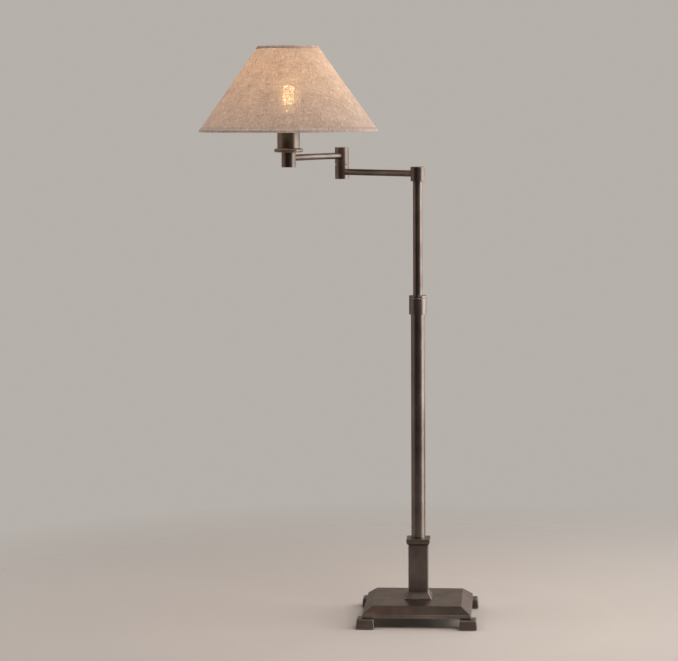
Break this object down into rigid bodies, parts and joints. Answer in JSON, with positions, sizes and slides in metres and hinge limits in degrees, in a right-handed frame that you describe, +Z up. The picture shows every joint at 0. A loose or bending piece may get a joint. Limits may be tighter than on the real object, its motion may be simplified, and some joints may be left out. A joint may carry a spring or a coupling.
{
  "type": "floor lamp",
  "caption": "Swing-arm floor lamp: square footed base, telescoping post with a clamp collar, two hinged rods and a linen cone shade.",
  "frame": {"origin": "on the post's axis at floor level", "axes": "+Z up, -Y towards the front of the square base, the arm stored out towards -X"},
  "size_m": [0.5461, 0.392, 1.138],
  "materials": {
    "bronzed_steel": "brushed and bronzed, clear lacquer",
    "bronzed_brass": "turned, bronzed, clear lacquer",
    "bronzed_casting": "ground casting, bronzed, clear lacquer",
    "cast_iron": "as cast",
    "plain_steel": "zinc plated",
    "plain_brass": "plain turned",
    "felt": "pressed felt",
    "grommet_rubber": "moulded",
    "acetal": "machined",
    "phenolic": "moulded",
    "lead_jacket": "extruded",
    "lamp_glass": "frosted inside",
    "lamp_cap": "drawn",
    "white_wire": "powder coat",
    "linen": "plain-woven slubby linen",
    "styrene": "sheet, matt inside"
  },
  "bodies": {
    "base": {"floor_pads": "felt", "foot_front_left": "bronzed_casting", "foot_front_right": "bronzed_casting", "foot_back_left": "bronzed_casting", "foot_back_right": "bronzed_casting", "base_screws": "plain_steel", "base_plate": "bronzed_casting", "ballast": "cast_iron", "bottom_cover": "plain_steel", "cord_grommet": "grommet_rubber", "neck_foot": "bronzed_casting", "neck_column": "bronzed_steel", "neck_cap": "bronzed_casting", "tie_rod": "plain_steel", "tie_rod_nut": "plain_steel", "lower_tube": "bronzed_steel", "tube_plug": "plain_steel", "base_lead": "lead_jacket", "collar_seat": "plain_brass", "collet": "acetal"},
    "collar": {"collar": "bronzed_brass"},
    "mast": {"upper_tube": "bronzed_steel", "guide_bush": "acetal", "post_spindle": "bronzed_brass", "post_washer": "acetal", "post_nut": "plain_brass", "post_lead": "lead_jacket"},
    "arm_1": {"post_barrel": "bronzed_brass", "post_disc": "bronzed_brass", "arm_1_rod": "bronzed_steel", "arm_1_lead": "lead_jacket", "elbow_lower_barrel": "bronzed_brass", "elbow_lower_disc": "bronzed_brass", "elbow_spindle": "bronzed_brass", "elbow_washer": "acetal", "elbow_nut": "plain_brass"},
    "arm_2": {"elbow_upper_barrel": "bronzed_brass", "elbow_upper_disc": "bronzed_brass", "arm_2_rod": "bronzed_steel", "arm_2_lead": "lead_jacket", "socket_barrel": "bronzed_brass", "socket_barrel_disc": "bronzed_brass", "socket_nipple": "plain_brass", "drip_ring": "bronzed_brass", "socket_cup": "bronzed_brass", "lamp_holder": "phenolic", "screw_shell": "plain_brass", "bulb_cap": "lamp_cap", "bulb_glass": "lamp_glass", "shade_fitter": "white_wire", "shade_bottom_ring": "white_wire", "shade_ring_nut": "phenolic", "shade_top_ring": "white_wire", "shade_liner": "styrene", "shade_cover": "linen", "shade_bottom_trim": "linen", "shade_top_trim": "linen"},
    "switch": {"switch_key": "plain_brass", "switch_knob": "bronzed_brass"}
  },
  "joints": [
    {"name": "collar_turn", "type": "hinge", "parent": "base", "child": "collar", "pos_m": [0, 0, 0.628], "axis": [0, 0, 1], "range_deg": [0, 120]},
    {"name": "height_slide", "type": "slide", "parent": "base", "child": "mast", "axis": [0, 0, 1], "range_m": [-0.224, 0.15]},
    {"name": "post_swivel", "type": "hinge", "parent": "mast", "child": "arm_1", "pos_m": [0, 0, 0.887], "axis": [0, 0, 1], "range_deg": [-170, 170]},
    {"name": "elbow_swivel", "type": "hinge", "parent": "arm_1", "child": "arm_2", "pos_m": [-0.16024, 0.15074, 0.9026], "axis": [0, 0, 1], "range_deg": [-279, 60]},
    {"name": "switch_turn", "type": "hinge", "parent": "arm_2", "child": "switch", "pos_m": [-0.24993, -0.05015, 0.958], "axis": [0, 1, 0], "continuous": true}
  ]
}
